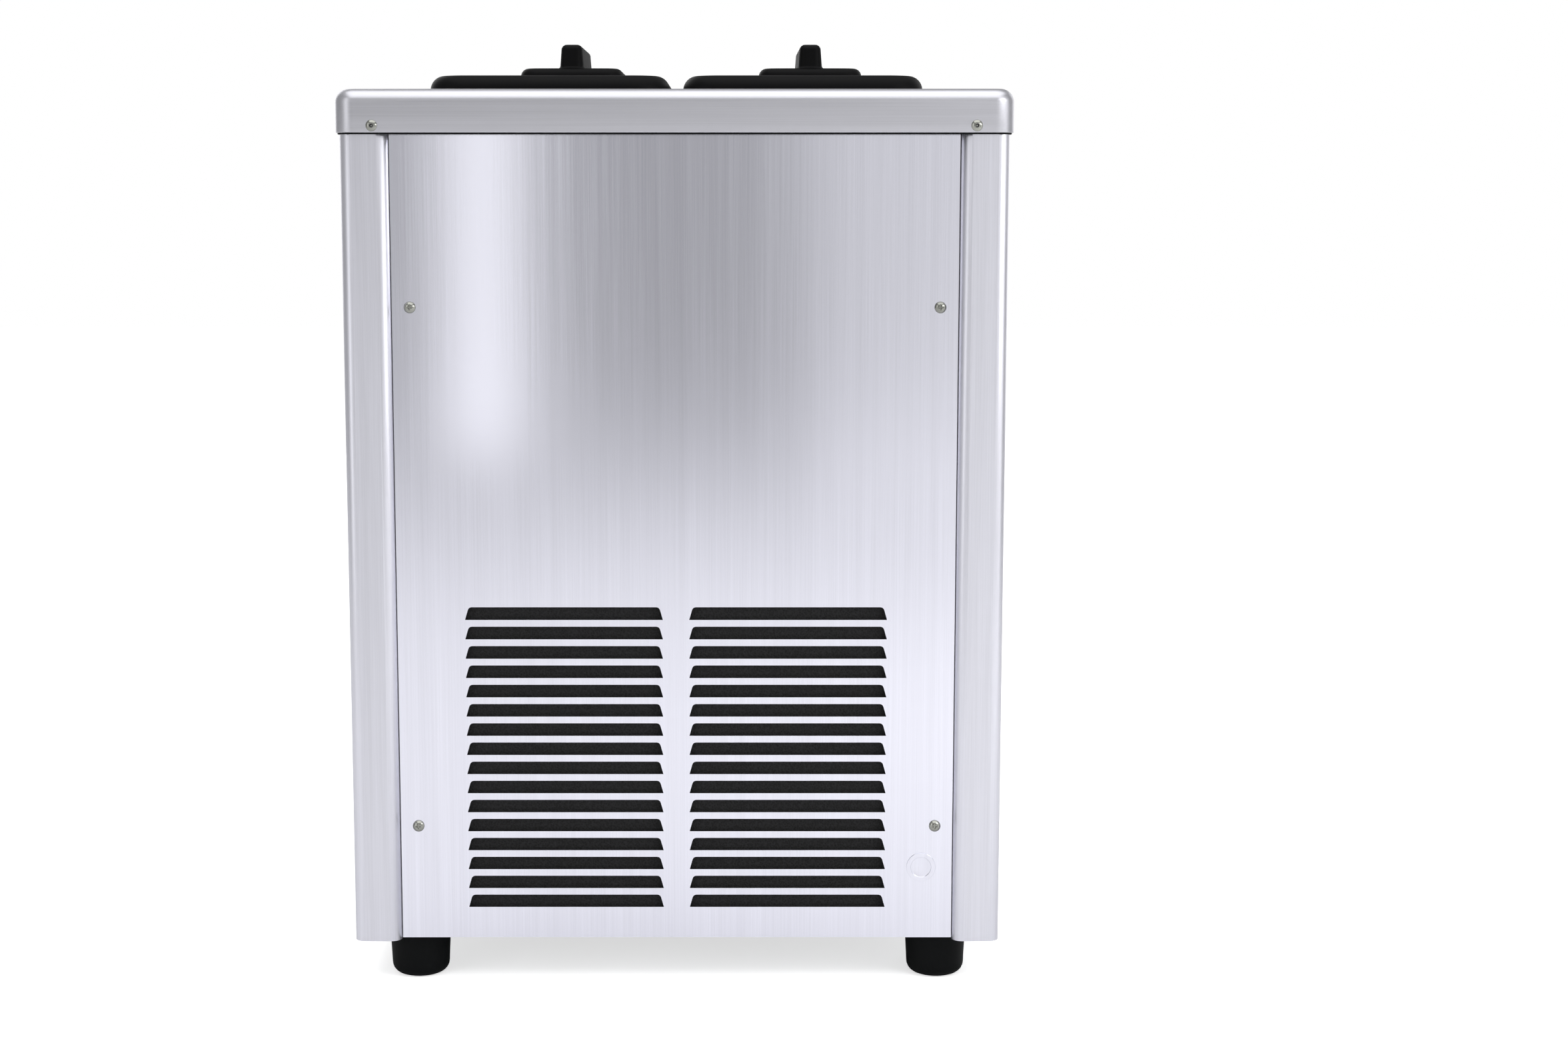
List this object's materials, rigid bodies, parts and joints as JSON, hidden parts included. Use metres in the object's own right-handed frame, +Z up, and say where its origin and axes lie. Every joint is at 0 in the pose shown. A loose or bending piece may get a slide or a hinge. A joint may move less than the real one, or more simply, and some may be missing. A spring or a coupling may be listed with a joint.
{
  "type": "countertop soft serve ice cream machine",
  "caption": "Stainless countertop soft serve ice cream machine with lidded hoppers, louvred back, draw levers over a drip tray, and a belt drive.",
  "frame": {"origin": "on the worktop under the feet, at the middle of the machine's width and depth", "axes": "+Z up, the dispensing front faces -Y and the louvred back faces +Y, +X is the machine's right seen from its front towards +Y"},
  "size_m": [0.54, 0.7432, 0.776],
  "materials": {
    "cover_steel": "brushed along the width, satin",
    "panel_steel": "brushed upright, satin",
    "side_steel": "brushed upright, satin",
    "bowl_steel": "satin",
    "fastener_steel": "bright",
    "mechanism_steel": "machined",
    "tray_steel": "satin",
    "lever_steel": "polished, with a dark grip",
    "zinc_steel": "zinc plated",
    "gear_iron": "painted",
    "motor_paint": "painted",
    "compressor_paint": "gloss black paint",
    "fin_aluminium": "bare",
    "copper_pipe": "bare copper",
    "foam_block": "foam",
    "filter_foam": "open foam",
    "gland_steel": "satin plug",
    "foot_rubber": "matt",
    "belt_rubber": "matt",
    "seal_rubber": "satin",
    "lid_plastic": "fine texture, satin",
    "black_plastic": "satin",
    "head_plastic": "satin white",
    "white_plastic": "satin white",
    "fascia_film": "satin film",
    "auto_button_plastic": "satin",
    "wash_button_plastic": "satin",
    "stop_button_plastic": "satin",
    "rocker_plastic": "gloss"
  },
  "bodies": {
    "cabinet": {"top_cover": "cover_steel", "rear_panel": "panel_steel", "front_panel": "panel_steel", "left_side_panel": "side_steel", "right_side_panel": "side_steel", "left_hopper": "bowl_steel", "right_hopper": "bowl_steel", "left_cylinder": "bowl_steel", "right_cylinder": "bowl_steel", "rear_panel_screws": "fastener_steel", "cover_rivets": "fastener_steel", "foot_bolts": "fastener_steel", "lever_pin": "fastener_steel", "base_pan": "zinc_steel", "chassis_frame": "zinc_steel", "control_box": "zinc_steel", "fan_shroud": "zinc_steel", "gearboxes": "gear_iron", "drive_motor": "motor_paint", "fan_motor": "motor_paint", "compressor": "compressor_paint", "condenser_coil": "fin_aluminium", "evaporator_jackets": "copper_pipe", "refrigerant_lines": "copper_pipe", "cylinder_insulation": "foam_block", "air_filter": "filter_foam", "cord_gland": "gland_steel", "feet": "foot_rubber", "drive_belts": "belt_rubber", "seals": "seal_rubber", "head_knobs": "black_plastic", "dispensing_head": "head_plastic", "nozzle_caps": "head_plastic", "control_fascia": "fascia_film"},
    "left_lid_body": {"left_lid": "lid_plastic"},
    "right_lid_body": {"right_lid": "lid_plastic"},
    "left_feed": {"left_feed_tube": "white_plastic"},
    "right_feed": {"right_feed_tube": "white_plastic"},
    "drive_rotor": {"motor_pulley": "gear_iron"},
    "left_input": {"left_gearbox_pulley": "gear_iron"},
    "right_input": {"right_gearbox_pulley": "gear_iron"},
    "left_dasher": {"left_beater": "mechanism_steel", "left_scrapers": "white_plastic", "left_drive_shaft": "mechanism_steel"},
    "right_dasher": {"right_beater": "mechanism_steel", "right_scrapers": "white_plastic", "right_drive_shaft": "mechanism_steel"},
    "fan_rotor": {"fan_blades": "black_plastic"},
    "left_valve": {"left_plunger": "white_plastic"},
    "centre_valve": {"centre_plunger": "white_plastic"},
    "right_valve": {"right_plunger": "white_plastic"},
    "left_draw": {"left_lever": "lever_steel"},
    "centre_draw": {"centre_lever": "lever_steel"},
    "right_draw": {"right_lever": "lever_steel"},
    "tray": {"drip_tray": "tray_steel"},
    "grid": {"drip_grid": "tray_steel"},
    "auto_key": {"auto_button": "auto_button_plastic"},
    "wash_key": {"wash_button": "wash_button_plastic"},
    "stop_key": {"stop_button": "stop_button_plastic"},
    "power_key": {"power_rocker": "rocker_plastic"}
  },
  "joints": [
    {"name": "left_lid_lift", "type": "slide", "parent": "cabinet", "child": "left_lid_body", "axis": [0, 0, 1], "range_m": [0, 0.2]},
    {"name": "left_feed_tube_lift", "type": "slide", "parent": "cabinet", "child": "left_feed", "axis": [0, 0, 1], "range_m": [0, 0.028]},
    {"name": "right_lid_lift", "type": "slide", "parent": "cabinet", "child": "right_lid_body", "axis": [0, 0, 1], "range_m": [0, 0.2]},
    {"name": "right_feed_tube_lift", "type": "slide", "parent": "cabinet", "child": "right_feed", "axis": [0, 0, 1], "range_m": [0, 0.028]},
    {"name": "motor_spin", "type": "hinge", "parent": "cabinet", "child": "drive_rotor", "pos_m": [0, 0.18, 0.3], "axis": [0, 1, 0], "continuous": true},
    {"name": "left_input_spin", "type": "hinge", "parent": "cabinet", "child": "left_input", "pos_m": [-0.104, 0.18, 0.455], "axis": [0, 1, 0], "continuous": true},
    {"name": "left_beater_spin", "type": "hinge", "parent": "cabinet", "child": "left_dasher", "pos_m": [-0.104, 0, 0.505], "axis": [0, 1, 0], "continuous": true},
    {"name": "right_input_spin", "type": "hinge", "parent": "cabinet", "child": "right_input", "pos_m": [0.104, 0.18, 0.455], "axis": [0, 1, 0], "continuous": true},
    {"name": "right_beater_spin", "type": "hinge", "parent": "cabinet", "child": "right_dasher", "pos_m": [0.104, 0, 0.505], "axis": [0, 1, 0], "continuous": true},
    {"name": "fan_spin", "type": "hinge", "parent": "cabinet", "child": "fan_rotor", "pos_m": [0, 0.247, 0.188], "axis": [0, 1, 0], "continuous": true},
    {"name": "left_lever_pull", "type": "hinge", "parent": "cabinet", "child": "left_draw", "pos_m": [-0.104, -0.282, 0.58], "axis": [1, 0, 0], "range_deg": [0, 45]},
    {"name": "left_plunger_lift", "type": "slide", "parent": "cabinet", "child": "left_valve", "axis": [0, 0, 1], "range_m": [0, 0.0218]},
    {"name": "centre_lever_pull", "type": "hinge", "parent": "cabinet", "child": "centre_draw", "pos_m": [0, -0.282, 0.58], "axis": [1, 0, 0], "range_deg": [0, 45]},
    {"name": "centre_plunger_lift", "type": "slide", "parent": "cabinet", "child": "centre_valve", "axis": [0, 0, 1], "range_m": [0, 0.0218]},
    {"name": "right_lever_pull", "type": "hinge", "parent": "cabinet", "child": "right_draw", "pos_m": [0.104, -0.282, 0.58], "axis": [1, 0, 0], "range_deg": [0, 45]},
    {"name": "right_plunger_lift", "type": "slide", "parent": "cabinet", "child": "right_valve", "axis": [0, 0, 1], "range_m": [0, 0.0218]},
    {"name": "drip_tray_slide", "type": "slide", "parent": "cabinet", "child": "tray", "axis": [0, -1, 0], "range_m": [0, 0.15]},
    {"name": "drip_grid_lift", "type": "slide", "parent": "tray", "child": "grid", "axis": [0, 0, 1], "range_m": [0, 0.12]},
    {"name": "auto_button_press", "type": "slide", "parent": "cabinet", "child": "auto_key", "axis": [0, 1, 0], "range_m": [0, 0.0015], "stiffness_N_per_m": 800},
    {"name": "wash_button_press", "type": "slide", "parent": "cabinet", "child": "wash_key", "axis": [0, 1, 0], "range_m": [0, 0.0015], "stiffness_N_per_m": 800},
    {"name": "stop_button_press", "type": "slide", "parent": "cabinet", "child": "stop_key", "axis": [0, 1, 0], "range_m": [0, 0.0015], "stiffness_N_per_m": 800},
    {"name": "power_rocker_tip", "type": "hinge", "parent": "cabinet", "child": "power_key", "pos_m": [0.17, -0.217, 0.652], "axis": [1, 0, 0], "range_deg": [0, 16]}
  ],
  "couplings": [
    {"joint": "left_input_spin", "follows": "motor_spin", "ratio": 0.44},
    {"joint": "left_beater_spin", "follows": "motor_spin", "ratio": -0.0629},
    {"joint": "right_input_spin", "follows": "motor_spin", "ratio": 0.44},
    {"joint": "right_beater_spin", "follows": "motor_spin", "ratio": -0.0629},
    {"joint": "left_plunger_lift", "follows": "left_lever_pull", "m_per_rad": 0.02729},
    {"joint": "centre_plunger_lift", "follows": "centre_lever_pull", "m_per_rad": 0.02729},
    {"joint": "right_plunger_lift", "follows": "right_lever_pull", "m_per_rad": 0.02729}
  ]
}
